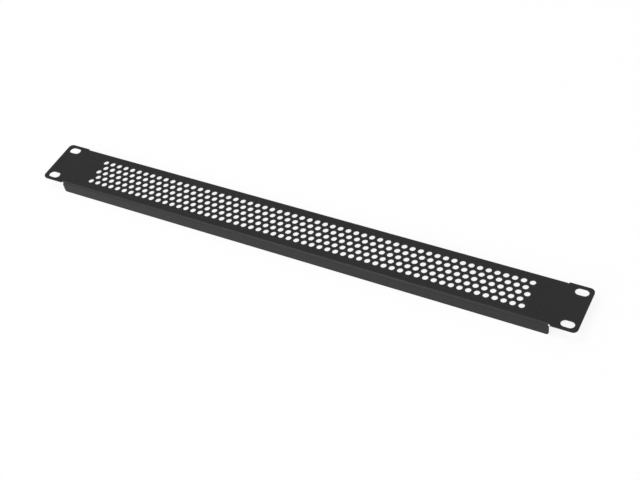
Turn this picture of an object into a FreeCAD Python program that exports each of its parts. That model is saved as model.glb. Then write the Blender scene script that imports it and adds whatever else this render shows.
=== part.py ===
import FreeCAD, Part
import math
import os

# Rack blanking panel, folded from a single perforated steel sheet.
# X runs along the panel, Y across its height and Z out of its face.
# The origin lies on the back of the ears, midway between the four slots.
# All sizes are in millimetres.

# Rack standard, with each slot placed from the panel's end and from the edge of its rack unit
panel_length = 482.6
unit_height = 44.45
unit_clearance = 0.79
slot_end_distance = 8.75
slot_edge_distance = 6.35

# Sheet and its two folds, each flange measured down from the outer face
sheet_thickness = 1.2
inner_bend_radius = 0.8
front_flange_depth = 11.5
back_flange_depth = 8.0
flange_corner_radius = 2.0

# Ears, which the flanges stop short of, and their slots
ear_length = 21.0
ear_corner_radius = 4.0
slot_length = 10.8
slot_width = 7.0

# Reliefs that part each fold from the ear beside it
relief_width = 1.6
relief_depth = 1.25

# Air holes, in rows that take turns at being one hole shorter
hole_diameter = 5.0
hole_pitch = 7.0
row_pitch = 5.9
first_hole_inset = 24.0
first_row_inset = 7.5
pattern_shift = 0.4

# Lines that several features share
panel_end = panel_length / 2
panel_edge = (unit_height - unit_clearance) / 2
flange_end = panel_end - ear_length
outer_bend_radius = inner_bend_radius + sheet_thickness
fold_line = panel_edge - outer_bend_radius
fold_bottom = sheet_thickness - outer_bend_radius

ALONG = FreeCAD.Vector(1, 0, 0)
ACROSS = FreeCAD.Vector(0, 1, 0)
OUTWARD = FreeCAD.Vector(0, 0, 1)
TOUCHING = 1e-6


def section_point(side, inset, depth):
    """Point of the cross-section, inset from one long edge and a depth below the outer face."""
    return FreeCAD.Vector(-flange_end, side * (panel_edge - inset), sheet_thickness - depth)


def fold_arc(side, radius):
    """Quarter circle of one fold, from the flange up to the face."""
    diagonal = radius * math.sin(math.pi / 4)
    start = section_point(side, outer_bend_radius - radius, outer_bend_radius)
    middle = section_point(side, outer_bend_radius - diagonal, outer_bend_radius - diagonal)
    end = section_point(side, outer_bend_radius, outer_bend_radius - radius)
    return Part.Arc(start, middle, end).toShape()


def line(start, end):
    """Straight edge between two points."""
    return Part.LineSegment(start, end).toShape()


def folded_channel():
    """Face with its front and back flange, as one cross-section drawn along the flanges."""
    depths = {-1: front_flange_depth, 1: back_flange_depth}
    edges = []
    for side, depth in depths.items():
        outer_tip = section_point(side, 0, depth)
        inner_tip = section_point(side, sheet_thickness, depth)
        edges.append(line(outer_tip, inner_tip))
        edges.append(line(outer_tip, section_point(side, 0, outer_bend_radius)))
        edges.append(line(inner_tip, section_point(side, sheet_thickness, outer_bend_radius)))
        edges.append(fold_arc(side, outer_bend_radius))
        edges.append(fold_arc(side, inner_bend_radius))
    for depth in (0, sheet_thickness):
        front = section_point(-1, outer_bend_radius, depth)
        back = section_point(1, outer_bend_radius, depth)
        edges.append(line(front, back))
    section = Part.Wire(Part.__sortEdges__(edges))
    return Part.Face(section).extrude(ALONG * 2 * flange_end)


def ears():
    """Flat ends of the sheet, which carry on past the flanges to the rack rails."""
    plates = []
    for inner_x in (-panel_end, flange_end):
        corner = FreeCAD.Vector(inner_x, -panel_edge, 0)
        plates.append(Part.makeBox(ear_length, 2 * panel_edge, sheet_thickness, corner))
    return plates


def fold_reliefs():
    """Round-ended cuts at both ends of each fold, from the long edge in and down into the flange."""
    radius = relief_width / 2
    centre_y = panel_edge - relief_depth + radius
    tools = []
    for end in (-1, 1):
        for side in (-1, 1):
            round_end = FreeCAD.Vector(end * flange_end, side * centre_y, fold_bottom)
            tools.append(Part.makeCylinder(radius, outer_bend_radius, round_end, OUTWARD))
            corner = round_end - ALONG * radius
            if side < 0:
                corner = corner - ACROSS * relief_depth
            tools.append(Part.makeBox(relief_width, relief_depth, outer_bend_radius, corner))
            outside = FreeCAD.Vector(end * flange_end, side * panel_edge, fold_bottom)
            tools.append(Part.makeCylinder(radius, sheet_thickness, outside, ACROSS * -side))
    return tools


def rounded(shape, radius, direction, reach, level):
    """Shape with its corners rounded at one distance from the middle of its length.

    The corner edges run along the given direction, and level tells them from others there.
    """
    corners = []
    for edge in shape.Edges:
        run = edge.valueAt(edge.LastParameter) - edge.valueAt(edge.FirstParameter)
        middle = edge.CenterOfMass
        straight = run.cross(direction).Length < TOUCHING
        if straight and math.isclose(abs(middle.x), reach) and level(middle):
            corners.append(edge)
    return shape.makeFillet(radius, corners)


def at_long_edge(point):
    """True for a point on either long edge of the panel."""
    return math.isclose(abs(point.y), panel_edge)


def at_free_edge(point):
    """True for a point on the free edge of either flange."""
    depths = (front_flange_depth, back_flange_depth)
    return any(math.isclose(point.z, sheet_thickness - depth) for depth in depths)


def rack_slots():
    """Punches for the four round-ended slots that take the rack screws."""
    radius = slot_width / 2
    straight = slot_length - slot_width
    x = panel_end - slot_end_distance
    y = unit_height / 2 - slot_edge_distance
    punches = []
    for end in (-1, 1):
        for side in (-1, 1):
            left = FreeCAD.Vector(end * x - straight / 2, side * y, 0)
            right = left + ALONG * straight
            punches.append(Part.makeCylinder(radius, sheet_thickness, left, OUTWARD))
            punches.append(Part.makeCylinder(radius, sheet_thickness, right, OUTWARD))
            punches.append(Part.makeBox(straight, slot_width, sheet_thickness, left - ACROSS * radius))
    return punches


def air_holes():
    """Punches for all air holes, with every second row moved along by half a pitch."""
    longest_row = 1 + math.floor(2 * (flange_end - first_hole_inset) / hole_pitch)
    rows = 1 + math.floor(2 * (fold_line - first_row_inset) / row_pitch)
    punches = []
    for row in range(rows):
        y = pattern_shift + (row - (rows - 1) / 2) * row_pitch
        holes = longest_row - row % 2
        for hole in range(holes):
            x = (hole - (holes - 1) / 2) * hole_pitch
            centre = FreeCAD.Vector(x, y, 0)
            punches.append(Part.makeCylinder(hole_diameter / 2, sheet_thickness, centre, OUTWARD))
    return punches


def blanking_panel():
    """The whole panel: folded, relieved, rounded at its corners and punched."""
    sheet = folded_channel().fuse(ears()).removeSplitter()
    sheet = sheet.cut(fold_reliefs())
    sheet = rounded(sheet, ear_corner_radius, OUTWARD, panel_end, at_long_edge)
    sheet = rounded(sheet, flange_corner_radius, ACROSS, flange_end, at_free_edge)
    return sheet.cut(rack_slots() + air_holes()).removeSplitter()


os.makedirs("parts", exist_ok=True)
panel = blanking_panel()
panel.exportStep("parts/blanking_panel.step")
print("blanking_panel: solids", len(panel.Solids), "faces", len(panel.Faces), "volume mm3", round(panel.Volume, 1))
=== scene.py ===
"""Blanking panel for a 19-inch rack, in black powder coat, set on a pale studio floor.

The panel is one steel sheet. It is worked out as the press shop does: first the flat blank with every
slot, relief and air hole in it, then the two folds along its long edges, and the coat last.
Sizes of the sheet are in millimetres, and the finished mesh is set in metres.
"""

import logging
import math
from dataclasses import dataclass, field
from enum import Enum
from typing import Any

import bmesh
import bpy
from mathutils import Matrix, Vector
from mathutils.geometry import delaunay_2d_cdt


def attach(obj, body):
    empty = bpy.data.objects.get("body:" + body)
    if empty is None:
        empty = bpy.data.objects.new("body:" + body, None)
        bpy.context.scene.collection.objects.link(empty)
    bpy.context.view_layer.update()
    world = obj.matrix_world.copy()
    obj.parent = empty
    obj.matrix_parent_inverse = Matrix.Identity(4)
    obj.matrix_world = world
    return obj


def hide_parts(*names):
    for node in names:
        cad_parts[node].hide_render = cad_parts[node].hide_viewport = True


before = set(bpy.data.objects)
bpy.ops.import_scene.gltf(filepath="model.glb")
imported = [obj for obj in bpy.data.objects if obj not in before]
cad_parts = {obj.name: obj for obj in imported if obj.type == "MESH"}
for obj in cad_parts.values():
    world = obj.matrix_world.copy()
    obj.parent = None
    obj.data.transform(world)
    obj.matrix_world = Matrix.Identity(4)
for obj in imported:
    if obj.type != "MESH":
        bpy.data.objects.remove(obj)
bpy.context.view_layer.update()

log = logging.getLogger("rack_panel")

MILLIMETRE = 0.001
SENSOR_MM = 36
WHITE = (1, 1, 1, 1)

# Middle of what a noise node gives
MID_NOISE = 0.5

# Triangles are wanted inside the outer edge only, and corners nearer than this are one
INSIDE_ONLY = 1
MERGE_MM = 1e-6

# Names of the values that each corner of the sheet carries
RIM = "rim"
FACING = "facing"


class Flange(Enum):
    """The two folded edges of the panel, by the side of the middle that they lie on."""

    FRONT = -1
    BACK = 1


class Role(Enum):
    """What a studio lamp is for."""

    KEY = "key"
    FILL = "fill"
    TOP = "top"


class Signal:
    """Output of a shader node that Python expressions can be written with.

    Each operator adds a Math node, so that 1 - mask * 0.5 reads as it is meant.
    """

    def __init__(self, bench: "ShaderBench", socket: bpy.types.NodeSocket) -> None:
        """Wraps an output socket of the bench's node tree."""
        self.bench = bench
        self.socket = socket

    def _math(self, operation: str, first: Any, second: Any) -> "Signal":
        """Result of a new Math node with a Signal or number at each input."""
        return self.bench.add("ShaderNodeMath", {"operation": operation}, {0: first, 1: second})["Value"]

    def __add__(self, other: Any) -> "Signal":
        """Sum of this and another value."""
        return self._math("ADD", self, other)

    def __radd__(self, other: Any) -> "Signal":
        """Sum of another value and this."""
        return self._math("ADD", other, self)

    def __sub__(self, other: Any) -> "Signal":
        """This less another value."""
        return self._math("SUBTRACT", self, other)

    def __rsub__(self, other: Any) -> "Signal":
        """Another value less this."""
        return self._math("SUBTRACT", other, self)

    def __mul__(self, other: Any) -> "Signal":
        """Product of this and another value."""
        return self._math("MULTIPLY", self, other)

    def __rmul__(self, other: Any) -> "Signal":
        """Product of another value and this."""
        return self._math("MULTIPLY", other, self)

    def highest(self, other: Any) -> "Signal":
        """Larger of this and another value."""
        return self._math("MAXIMUM", self, other)


class Outputs:
    """Outputs of one shader node, by name."""

    def __init__(self, bench: "ShaderBench", node: bpy.types.Node) -> None:
        """Wraps a node of the bench's node tree."""
        self.bench = bench
        self.node = node

    def __getitem__(self, name: str | int) -> Signal:
        """Output socket of that name or place, as a Signal."""
        return Signal(self.bench, self.node.outputs[name])


@dataclass(frozen=True)
class Speck:
    """Grade of soft noise in a finish.

    Attributes:
        size_mm: Width of one speck in millimetres.
        detail: Octaves of finer noise on top.
    """

    size_mm: float
    detail: float


class ShaderBench:
    """Node tree of one material or world, cleared and ready to build on."""

    def __init__(self, owner: bpy.types.Material | bpy.types.World) -> None:
        """Clears the owner's node tree.

        Args:
            owner: Material or world to work on.
        """
        owner.use_nodes = True
        self.tree = owner.node_tree
        self.tree.nodes.clear()

    def add(self, kind: str, settings: dict[str, Any], sockets: dict[str | int, Any]) -> Outputs:
        """Adds a node.

        Args:
            kind: Blender's type name of the node.
            settings: Properties of the node, which are set first.
            sockets: Value or Signal for each input, by name or place.

        Returns:
            The outputs of the new node.
        """
        node = self.tree.nodes.new(kind)
        for name, value in settings.items():
            setattr(node, name, value)
        for name, value in sockets.items():
            if isinstance(value, Signal):
                self.tree.links.new(value.socket, node.inputs[name])
            else:
                node.inputs[name].default_value = value
        return Outputs(self, node)

    def blend(self, factor: Any, first: Any, second: Any) -> Signal:
        """Colour between the first, where the factor is 0, and the second, where it is 1."""
        settings = {"data_type": "RGBA"}
        return self.add("ShaderNodeMix", settings, {0: factor, 6: first, 7: second})[2]

    def speckle(self, place: Signal, speck: Speck) -> Signal:
        """Soft noise from 0 to 1, around 0.5, over coordinates in metres."""
        sockets = {"Vector": place, "Scale": 1 / (speck.size_mm * MILLIMETRE), "Detail": speck.detail}
        return self.add("ShaderNodeTexNoise", {"noise_dimensions": "3D"}, sockets)["Fac"]


@dataclass(frozen=True)
class PowderCoat:
    """Baked black powder coat: a satin skin with a fine grain, a faint orange peel and thin rims.

    Attributes:
        deep: Colour where the coat is thickest.
        dusty: Colour where its grain stands up and scatters more light.
        thin: Colour on the rims, where the powder draws back while it bakes.
        cloud: Slow change over the whole sheet.
        peel: Ripples of the orange peel.
        grain: Grains of the powder.
        tone: Shares of the cloud, peel and grain in the colour.
        rim_tone: Share of the rim's own colour on a rim.
        roughness: Middle roughness of the skin.
        roughness_swing: Whole change of the roughness by the cloud and by the grain.
        rim_polish: How much less rough a rim is.
        relief: Shares of the peel and grain in the height.
        relief_mm: Height of the grain and peel together.
        bump_strength: Share of that height which tilts the skin.
        specular: Strength of the mirrored light, where 0.5 is plain.
    """

    deep: tuple[float, float, float, float] = (0.0118, 0.0118, 0.0118, 1)
    dusty: tuple[float, float, float, float] = (0.0266, 0.0265, 0.0265, 1)
    thin: tuple[float, float, float, float] = (0.021, 0.021, 0.021, 1)
    cloud: Speck = Speck(46, 3)
    peel: Speck = Speck(2.4, 1.5)
    grain: Speck = Speck(0.55, 2)
    tone: tuple[float, float, float] = (0.3, 0.35, 0.35)
    rim_tone: float = 0.8
    roughness: float = 0.4
    roughness_swing: tuple[float, float] = (0.07, 0.16)
    rim_polish: float = 0.05
    relief: tuple[float, float] = (0.6, 0.4)
    relief_mm: float = 0.1
    bump_strength: float = 0.7
    specular: float = 0.18

    def material(self) -> bpy.types.Material:
        """Builds the coat.

        Returns:
            The finished material.
        """
        material = bpy.data.materials.new("black_powder_coat")
        bench = ShaderBench(material)
        place = bench.add("ShaderNodeTexCoord", {}, {})["Object"]
        cloud = bench.speckle(place, self.cloud)
        peel = bench.speckle(place, self.peel)
        grain = bench.speckle(place, self.grain)
        rim = bench.add("ShaderNodeAttribute", {"attribute_name": RIM}, {})["Fac"]
        by_cloud, by_peel, by_grain = self.tone
        body = bench.blend(cloud * by_cloud + peel * by_peel + grain * by_grain, self.deep, self.dusty)
        colour = bench.blend(rim * self.rim_tone, body, self.thin)
        by_cloud, by_grain = self.roughness_swing
        roughness = self.roughness + (cloud - MID_NOISE) * by_cloud + (grain - MID_NOISE) * by_grain
        by_peel, by_grain = self.relief
        bump = {
            "Strength": self.bump_strength,
            "Distance": self.relief_mm * MILLIMETRE,
            "Height": peel * by_peel + grain * by_grain,
        }
        skin = bench.add("ShaderNodeBsdfPrincipled", {}, {
            "Base Color": colour,
            "Roughness": roughness - rim * self.rim_polish,
            "Specular IOR Level": self.specular,
            "Normal": bench.add("ShaderNodeBump", {}, bump)["Normal"],
        })
        bench.add("ShaderNodeOutputMaterial", {}, {"Surface": skin["BSDF"]})
        return material


@dataclass(frozen=True)
class StudioFloor:
    """Pale sweep under the panel, which looks white, keeps a soft shadow and is clear from below.

    Attributes:
        paper: Colour of the sweep in the light.
        fibre: Noise of the paper's fibres.
        fibre_shade: Share of that colour which is left between the fibres.
        shown_white: Share of plain white that straight, mirrored and clear views of it get.
        half_width: Half the width of the sweep in metres.
        wall_height: Height of the walls that it turns up into, in metres.
        touching: Two points across the panel, as Y and Z in millimetres, that rest on the sweep.
    """

    paper: tuple[float, float, float, float] = (0.88, 0.88, 0.88, 1)
    fibre: Speck = Speck(3, 2)
    fibre_shade: float = 0.98
    shown_white: float = 0.9
    half_width: float = 15.0
    wall_height: float = 3.0
    touching: tuple[tuple[float, float], tuple[float, float]] = ((-20.63, -10.3), (21.83, -6.8))

    def material(self) -> bpy.types.Material:
        """Builds the white paper.

        Returns:
            The finished material.
        """
        material = bpy.data.materials.new("white_sweep")
        bench = ShaderBench(material)
        rays = bench.add("ShaderNodeLightPath", {}, {})
        seen = rays["Is Camera Ray"].highest(rays["Is Glossy Ray"]).highest(rays["Is Transmission Ray"])
        place = bench.add("ShaderNodeTexCoord", {}, {})["Object"]
        fibre = bench.speckle(place, self.fibre)
        darker = tuple(self.fibre_shade * part for part in self.paper[:3]) + (1,)
        lit = bench.add("ShaderNodeBsdfDiffuse", {}, {"Color": bench.blend(fibre, darker, self.paper)})
        white = bench.add("ShaderNodeEmission", {}, {"Color": WHITE, "Strength": 1})
        sockets = {0: seen * self.shown_white, 1: lit["BSDF"], 2: white["Emission"]}
        paper = bench.add("ShaderNodeMixShader", {}, sockets)["Shader"]
        clear = bench.add("ShaderNodeBsdfTransparent", {}, {})["BSDF"]
        below = bench.add("ShaderNodeNewGeometry", {}, {})["Backfacing"]
        sheet = bench.add("ShaderNodeMixShader", {}, {0: below, 1: paper, 2: clear})["Shader"]
        bench.add("ShaderNodeOutputMaterial", {}, {"Surface": sheet})
        return material

    def lay(self) -> bpy.types.Object:
        """Lays the sweep under the two flanges and turns it up at its far edges.

        Returns:
            The floor object, which isn't part of the panel.
        """
        (near_y, near_z), (far_y, far_z) = self.touching
        slope = (far_z - near_z) / (far_y - near_y)
        sheet = bmesh.new()
        corners = []
        for x, y in ((-1, -1), (1, -1), (1, 1), (-1, 1)):
            across = y * self.half_width
            height = near_z * MILLIMETRE + slope * (across - near_y * MILLIMETRE)
            corners.append(sheet.verts.new((x * self.half_width, across, height)))
        tops = [sheet.verts.new(corner.co + Vector((0, 0, self.wall_height))) for corner in corners]
        sheet.faces.new(corners)
        for index, corner in enumerate(corners):
            sheet.faces.new((corner, corners[index - 1], tops[index - 1], tops[index]))
        mesh = bpy.data.meshes.new("studio_floor")
        sheet.to_mesh(mesh)
        sheet.free()
        mesh.materials.append(self.material())
        floor = bpy.data.objects.new("studio_floor", mesh)
        bpy.context.scene.collection.objects.link(floor)
        return floor


@dataclass
class Boundary:
    """Closed edge of the flat sheet, walked with the metal on its left.

    Attributes:
        points: Corners of the edge in millimetres, along the panel and across the unfolded sheet.
    """

    points: list[Vector] = field(default_factory=list)

    def arc(self, centre: Vector, radius: float, start: float, end: float, steps: int) -> None:
        """Adds the points of an arc, both ends included.

        Args:
            centre: Centre of the arc.
            radius: Its radius.
            start: Angle of its first point in degrees.
            end: Angle of its last point in degrees.
            steps: Straight pieces that it is made of.
        """
        for step in range(steps + 1):
            angle = math.radians(start + (end - start) * step / steps)
            self.points.append(centre + radius * Vector((math.cos(angle), math.sin(angle))))

    def moved(self, along: int, across: int) -> list[Vector]:
        """Points mirrored to the sides that 1 or -1 stand for, still in walking order."""
        mirrored = [Vector((along * point.x, across * point.y)) for point in self.points]
        return mirrored if along * across < 0 else mirrored[::-1]

    def outward(self) -> list[Vector]:
        """Ways that lead off the metal at each corner.

        Returns:
            One vector a corner, as long as it takes to move both edges there by one millimetre.
        """
        ways = []
        for index, point in enumerate(self.points):
            before = (point - self.points[index - 1]).normalized()
            after = (self.points[(index + 1) % len(self.points)] - point).normalized()
            first = Vector((before.y, -before.x))
            second = Vector((after.y, -after.x))
            ways.append((first + second) / (1 + first.dot(second)))
        return ways


@dataclass(frozen=True)
class EdgeLevel:
    """One line along a coated edge, somewhere between the sheet's back and its face.

    Attributes:
        draw_back: Distance that it lies inside the nominal edge.
        height: Height over the sheet's back.
        tilt: Angle of the surface there in radians, minus a quarter turn at the back to a quarter
            turn at the face.
        rim: 1 on the round and the cut edge, and 0 where the flat begins.
    """

    draw_back: float
    height: float
    tilt: float
    rim: float


@dataclass
class BlankingPanel:
    """Perforated sheet with a flange along each long edge and a slotted ear at each end.

    Sizes are in millimetres, and flange depths count from the outer face. Each name that ends in
    steps is the number of straight pieces that a round or a web is made of.

    Attributes:
        pattern_shift: Distance that the air holes lie nearer the back edge.
        edge_rounding: Radius of the coated edges.
        coat_build: Thickness of the coat on the walls of the openings.
        past_edge: Distance past the ears' edge from which all of the sheet is flange.
        snap: Distance within which a cut takes an old corner instead of a new one.
    """

    length: float = 482.6
    height: float = 43.66
    thickness: float = 1.2
    inner_bend_radius: float = 0.8
    front_flange_depth: float = 11.5
    back_flange_depth: float = 8.0
    flange_corner_radius: float = 2.0
    ear_length: float = 21.0
    ear_corner_radius: float = 4.0
    slot_spacing: tuple[float, float] = (465.1, 31.75)
    slot_length: float = 10.8
    slot_width: float = 7.0
    relief_width: float = 1.6
    relief_depth: float = 1.25
    hole_diameter: float = 5.0
    hole_pitch: float = 7.0
    row_pitch: float = 5.9
    rows: int = 5
    longest_row: int = 57
    pattern_shift: float = 0.4
    edge_rounding: float = 0.14
    coat_build: float = 0.12
    hole_steps: int = 28
    slot_end_steps: int = 14
    ear_corner_steps: int = 10
    flange_corner_steps: int = 8
    relief_steps: int = 14
    relief_foot_steps: int = 6
    bend_steps: int = 9
    web_steps: int = 4
    round_steps: int = 2
    past_edge: float = 0.1
    snap: float = 1e-5

    def __post_init__(self) -> None:
        """Works out the lines that several features share."""
        self.flange_end = self.length / 2 - self.ear_length
        self.outer_bend_radius = self.inner_bend_radius + self.thickness
        self.fold_line = self.height / 2 - self.outer_bend_radius
        self.bend_run = (self.inner_bend_radius + self.thickness / 2) * math.pi / 2
        self.depths = {
            Flange.FRONT: self.front_flange_depth,
            Flange.BACK: self.back_flange_depth,
        }

    def quarter_outline(self, flange: Flange) -> Boundary:
        """Edge of one quarter of the blank, from a flange's free edge round its ear.

        Args:
            flange: Flange that the quarter carries.

        Returns:
            The quarter on the right and back side, whichever flange it is for.
        """
        edge = Boundary()
        flat_depth = self.depths[flange] - self.outer_bend_radius
        free_edge = self.fold_line + self.bend_run + flat_depth
        corner = self.flange_corner_radius
        relief = self.relief_width / 2
        bend_end = Vector((self.flange_end, self.fold_line + self.bend_run))
        relief_end = Vector((self.flange_end, self.height / 2 - self.relief_depth + relief))
        centre = Vector((self.flange_end - corner, free_edge - corner))
        edge.arc(centre, corner, 90, 0, self.flange_corner_steps)
        edge.arc(bend_end, relief, 90, 180, self.relief_foot_steps)
        edge.arc(relief_end, relief, 180, 360, self.relief_steps)
        edge.points.append(Vector((self.flange_end + relief, self.height / 2)))
        corner = self.ear_corner_radius
        centre = Vector((self.length / 2 - corner, self.height / 2 - corner))
        edge.arc(centre, corner, 90, 0, self.ear_corner_steps)
        return edge

    def outline(self) -> Boundary:
        """Joins the four quarters.

        Returns:
            The whole outer edge of the blank.
        """
        front = self.quarter_outline(Flange.FRONT)
        back = self.quarter_outline(Flange.BACK)
        walk = [front.moved(1, -1), back.moved(1, 1), back.moved(-1, 1), front.moved(-1, -1)]
        return Boundary([point for quarter in walk for point in quarter])

    def rack_slots(self) -> list[Boundary]:
        """Places the round-ended slots that take the rack screws.

        Returns:
            Two slots in each ear.
        """
        radius = self.slot_width / 2 - self.coat_build
        reach = Vector(((self.slot_length - self.slot_width) / 2, 0))
        spacing_x, spacing_y = self.slot_spacing
        slots = []
        for side in (-1, 1):
            for flange in Flange:
                centre = Vector((side * spacing_x / 2, flange.value * spacing_y / 2))
                slot = Boundary()
                slot.arc(centre + reach, radius, 90, -90, self.slot_end_steps)
                slot.arc(centre - reach, radius, -90, -270, self.slot_end_steps)
                slots.append(slot)
        return slots

    def air_holes(self) -> list[Boundary]:
        """Places the round holes in staggered rows, every second row one hole shorter.

        Returns:
            All holes, row by row from the front.
        """
        radius = self.hole_diameter / 2 - self.coat_build
        last = -360 + 360 / self.hole_steps
        holes = []
        for row in range(self.rows):
            y = self.pattern_shift + (row - (self.rows - 1) / 2) * self.row_pitch
            count = self.longest_row - row % 2
            for index in range(count):
                x = (index - (count - 1) / 2) * self.hole_pitch
                hole = Boundary()
                hole.arc(Vector((x, y)), radius, 0, last, self.hole_steps - 1)
                holes.append(hole)
        return holes

    def edge_levels(self) -> list[EdgeLevel]:
        """Lays out the lines that run along every edge of the sheet.

        Returns:
            The lines in order, from the back over both coated rounds to the face.
        """
        radius = self.edge_rounding
        levels = []
        for way, base in ((-1, radius), (1, self.thickness - radius)):
            steps = range(self.round_steps + 1)
            for step in reversed(steps) if way < 0 else steps:
                tilt = way * math.pi / 2 * step / self.round_steps
                height = base + radius * math.sin(tilt)
                rim = 0.0 if step == self.round_steps else 1.0
                levels.append(EdgeLevel(radius - radius * math.cos(tilt), height, tilt, rim))
        return levels

    def raise_edge(self, blank: bmesh.types.BMesh, edge: Boundary) -> list[list[bmesh.types.BMVert]]:
        """Makes the cut wall along one edge, with both of its coated rounds.

        Args:
            blank: Flat sheet that gets the wall.
            edge: Outer edge or opening.

        Returns:
            The wall's corners, one ring for each line from the back to the face.
        """
        facing = blank.verts.layers.float_vector[FACING]
        rim_share = blank.verts.layers.float[RIM]
        ways = edge.outward()
        rings = []
        for level in self.edge_levels():
            ring = []
            for point, way in zip(edge.points, ways, strict=True):
                corner = blank.verts.new((*(point - way * level.draw_back), level.height))
                side = way.normalized() * math.cos(level.tilt)
                corner[facing] = Vector((side.x, side.y, math.sin(level.tilt)))
                corner[rim_share] = level.rim
                ring.append(corner)
            rings.append(ring)
        count = len(edge.points)
        for low, high in zip(rings, rings[1:]):
            for i in range(count):
                j = (i + 1) % count
                blank.faces.new((low[i], low[j], high[j], high[i]))
        return rings

    def punched_blank(self) -> bmesh.types.BMesh:
        """Makes the flat sheet with all of its openings.

        Returns:
            A closed mesh whose corners carry the way that they face and how near a rim they are.
        """
        blank = bmesh.new()
        blank.verts.layers.float_vector.new(FACING)
        blank.verts.layers.float.new(RIM)
        flat_points: list[Vector] = []
        flat_edges: list[tuple[int, int]] = []
        owners: list[int] = []
        backs: list[bmesh.types.BMVert] = []
        faces: list[bmesh.types.BMVert] = []
        for number, edge in enumerate([self.outline(), *self.rack_slots(), *self.air_holes()]):
            rings = self.raise_edge(blank, edge)
            first = len(flat_points)
            count = len(edge.points)
            flat_points.extend(corner.co.xy for corner in rings[-1])
            flat_edges.extend((first + i, first + (i + 1) % count) for i in range(count))
            owners.extend([number] * count)
            backs.extend(rings[0])
            faces.extend(rings[-1])
        for a, b, c in self.flat_triangles(flat_points, flat_edges, owners):
            blank.faces.new((faces[a], faces[b], faces[c]))
            blank.faces.new((backs[c], backs[b], backs[a]))
        return blank

    def flat_triangles(self, points: list[Vector], edges: list[tuple[int, int]],
                       owners: list[int]) -> list[tuple[int, int, int]]:
        """Divides the flat between the outer edge and the openings.

        Args:
            points: Corners of the flat, seen from above.
            edges: Pairs of neighbours along the outer edge and round the openings.
            owners: For each corner, 0 on the outer edge or the number of its opening.

        Returns:
            Triangles of corner numbers, each anticlockwise and none of them in an opening.
        """
        _, _, found, origins, _, _ = delaunay_2d_cdt(points, edges, [], INSIDE_ONLY, MERGE_MM)
        triangles = []
        for triangle in found:
            a, b, c = (origins[corner][0] for corner in triangle)
            if owners[a] and owners[a] == owners[b] == owners[c]:
                continue
            if (points[b] - points[a]).cross(points[c] - points[a]) < 0:
                b, c = c, b
            triangles.append((a, b, c))
        return triangles

    def score(self, blank: bmesh.types.BMesh) -> None:
        """Cuts the blank along the lines that it bends over, so that its folds come out round.

        Args:
            blank: Flat sheet.
        """
        for side in (-1, 1):
            for step in range(self.bend_steps + 1):
                line = side * (self.fold_line + self.bend_run * step / self.bend_steps)
                self.cut(blank, Vector((0, line, 0)), Vector((0, 1, 0)))
            for step in range(-self.web_steps // 2, self.web_steps // 2 + 1):
                line = side * (self.flange_end + self.relief_width / self.web_steps * step)
                self.cut(blank, Vector((line, 0, 0)), Vector((1, 0, 0)))

    def cut(self, blank: bmesh.types.BMesh, place: Vector, across: Vector) -> None:
        """Divides every face along the plane through a place, square to a direction."""
        whole = [*blank.verts, *blank.edges, *blank.faces]
        bmesh.ops.bisect_plane(blank, geom=whole, dist=self.snap, plane_co=place, plane_no=across)

    def share_of_fold(self, x: float, y: float) -> float:
        """Works out how far a point of the blank goes with the fold.

        Args:
            x: Distance along the panel from its middle.
            y: Distance across the unfolded sheet.

        Returns:
            1 on a flange, 0 on an ear, and in between on the web past each relief.
        """
        if abs(y) > self.height / 2 + self.past_edge:
            return 1
        web = self.relief_width / 2
        share = min(max((self.flange_end + web - abs(x)) / (2 * web), 0), 1)
        return share * share * (3 - 2 * share)

    def fold(self, blank: bmesh.types.BMesh) -> list[Vector]:
        """Folds both flanges down round their inner radius.

        Args:
            blank: Flat sheet, scored along its bends.

        Returns:
            The way that each corner faces after the fold.
        """
        facing = blank.verts.layers.float_vector[FACING]
        ways = []
        for corner in blank.verts:
            x, y, z = corner.co
            way = corner[facing].copy()
            past = abs(y) - self.fold_line
            share = self.share_of_fold(x, y)
            if past > 0 and share > 0:
                side = math.copysign(1, y)
                turn = min(past / self.bend_run, 1) * math.pi / 2
                radius = self.inner_bend_radius + z
                down = max(past - self.bend_run, 0)
                folded_y = side * (self.fold_line + radius * math.sin(turn))
                folded_z = radius * math.cos(turn) - self.inner_bend_radius - down
                folded = Vector((x, folded_y, folded_z))
                corner.co = corner.co.lerp(folded, share)
                way = way.lerp(Matrix.Rotation(-side * turn, 3, "X") @ way, share)
            ways.append(way.normalized())
        return ways

    def build(self, coat: PowderCoat) -> bpy.types.Object:
        """Makes the panel and coats it.

        Args:
            coat: Finish of the whole sheet.

        Returns:
            The panel in metres, riding on its body in place of the plain solid.
        """
        blank = self.punched_blank()
        self.score(blank)
        ways = self.fold(blank)
        bmesh.ops.scale(blank, vec=(MILLIMETRE, MILLIMETRE, MILLIMETRE), verts=blank.verts)
        for patch in blank.faces:
            patch.smooth = True
        mesh = bpy.data.meshes.new("perforated_panel")
        blank.to_mesh(mesh)
        blank.free()
        mesh.attributes.remove(mesh.attributes[FACING])
        mesh.normals_split_custom_set_from_vertices(ways)
        mesh.materials.append(coat.material())
        panel = bpy.data.objects.new("perforated_panel", mesh)
        bpy.context.scene.collection.objects.link(panel)
        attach(panel, "root")
        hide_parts("blanking_panel")
        return panel


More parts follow.
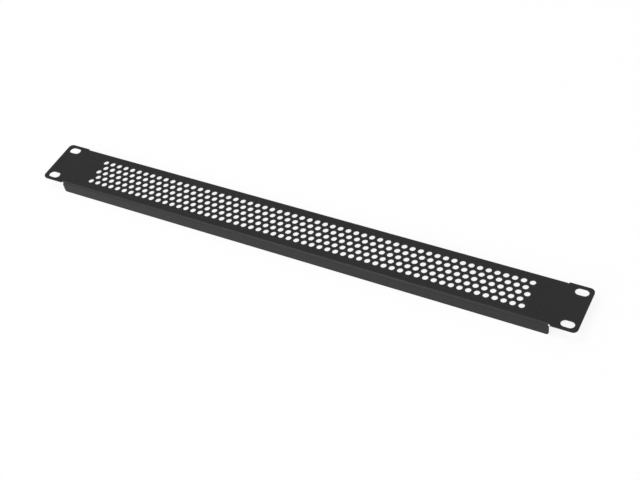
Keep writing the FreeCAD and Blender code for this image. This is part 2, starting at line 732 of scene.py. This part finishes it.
@dataclass(frozen=True)
class SoftBox:
    """Square studio lamp with a diffuser, aimed at the panel.

    Attributes:
        role: What the lamp is for.
        way: Direction from the panel to the lamp.
        distance: Distance from the panel in metres.
        width: Width of the diffuser in metres.
        level: Brightness that it adds to white paper facing it, where 1 is white.
    """

    role: Role
    way: tuple[float, float, float]
    distance: float
    width: float
    level: float

    def hang(self) -> bpy.types.Object:
        """Puts the lamp in the scene, with the power that its level takes at its distance.

        Returns:
            The lamp object.
        """
        light = bpy.data.lights.new(f"{self.role.value}_softbox", "AREA")
        light.shape = "SQUARE"
        light.size = self.width
        light.energy = self.level * (math.pi * self.distance) ** 2
        lamp = bpy.data.objects.new(light.name, light)
        towards = Vector(self.way).normalized()
        lamp.location = towards * self.distance
        lamp.rotation_mode = "QUATERNION"
        lamp.rotation_quaternion = towards.to_track_quat("Z", "Y")
        bpy.context.scene.collection.objects.link(lamp)
        return lamp


@dataclass(frozen=True)
class Studio:
    """Plain soft light and the camera.

    Attributes:
        ambient: Brightness of the room on every side.
        boxes: Lamps round the panel.
        camera_place: Place of the camera in metres.
        camera_aim: Point that it looks at in metres.
        camera_roll: Turn about its own axis in degrees.
        lens_mm: Focal length over the whole width of the sensor.
        sight: Nearest and farthest distance that the camera sees, in metres.
    """

    ambient: float = 0.33
    boxes: tuple[SoftBox, ...] = (
        SoftBox(Role.KEY, (-0.38, -0.82, 0.41), 6.0, 3.0, 0.53),
        SoftBox(Role.TOP, (-0.36, -0.10, 0.93), 6.0, 2.9, 0.60),
        SoftBox(Role.FILL, (0.16, 0.60, 0.79), 6.0, 2.8, 0.08),
    )
    camera_place: tuple[float, float, float] = (0.39669, -0.53051, 0.67488)
    camera_aim: tuple[float, float, float] = (0.02524, -0.0049, 0.0012)
    camera_roll: float = 11.043
    lens_mm: float = 66.095
    sight: tuple[float, float] = (0.01, 100)

    def light(self) -> None:
        """Lights the room and hangs the lamps."""
        world = bpy.data.worlds.new("studio_room")
        bpy.context.scene.world = world
        bench = ShaderBench(world)
        room = {"Color": WHITE, "Strength": self.ambient}
        glow = bench.add("ShaderNodeBackground", {}, room)["Background"]
        bench.add("ShaderNodeOutputWorld", {}, {"Surface": glow})
        for box in self.boxes:
            lamp = box.hang()
            log.info("lamp %s at level %.2f", lamp.name, box.level)

    def shoot(self) -> bpy.types.Object:
        """Sets up the camera.

        Returns:
            The scene's camera.
        """
        place = Vector(self.camera_place)
        forward = (Vector(self.camera_aim) - place).normalized()
        level_right = forward.cross(Vector((0, 0, 1))).normalized()
        level_up = level_right.cross(forward)
        roll = math.radians(self.camera_roll)
        up = level_up * math.cos(roll) + level_right * math.sin(roll)
        right = forward.cross(up)
        data = bpy.data.cameras.new("studio_camera")
        data.sensor_width = SENSOR_MM
        data.lens = self.lens_mm
        data.clip_start, data.clip_end = self.sight
        data.dof.use_dof = False
        camera = bpy.data.objects.new("studio_camera", data)
        axes = Matrix((right, up, -forward)).transposed()
        camera.matrix_world = Matrix.Translation(place) @ axes.to_4x4()
        bpy.context.scene.collection.objects.link(camera)
        bpy.context.scene.camera = camera
        return camera


def main() -> None:
    """Builds the panel, the floor, the lamps and the camera in order."""
    logging.basicConfig(level=logging.INFO, format="%(name)s: %(message)s")
    scene = bpy.context.scene
    scene.view_settings.view_transform = "Standard"
    panel = BlankingPanel().build(PowderCoat())
    log.info("%s: %d faces", panel.name, len(panel.data.polygons))
    floor = StudioFloor().lay()
    log.info("%s laid", floor.name)
    studio = Studio()
    studio.light()
    camera = studio.shoot()
    log.info("%s with a %.1f mm lens", camera.name, studio.lens_mm)


if __name__ == "__main__":
    main()
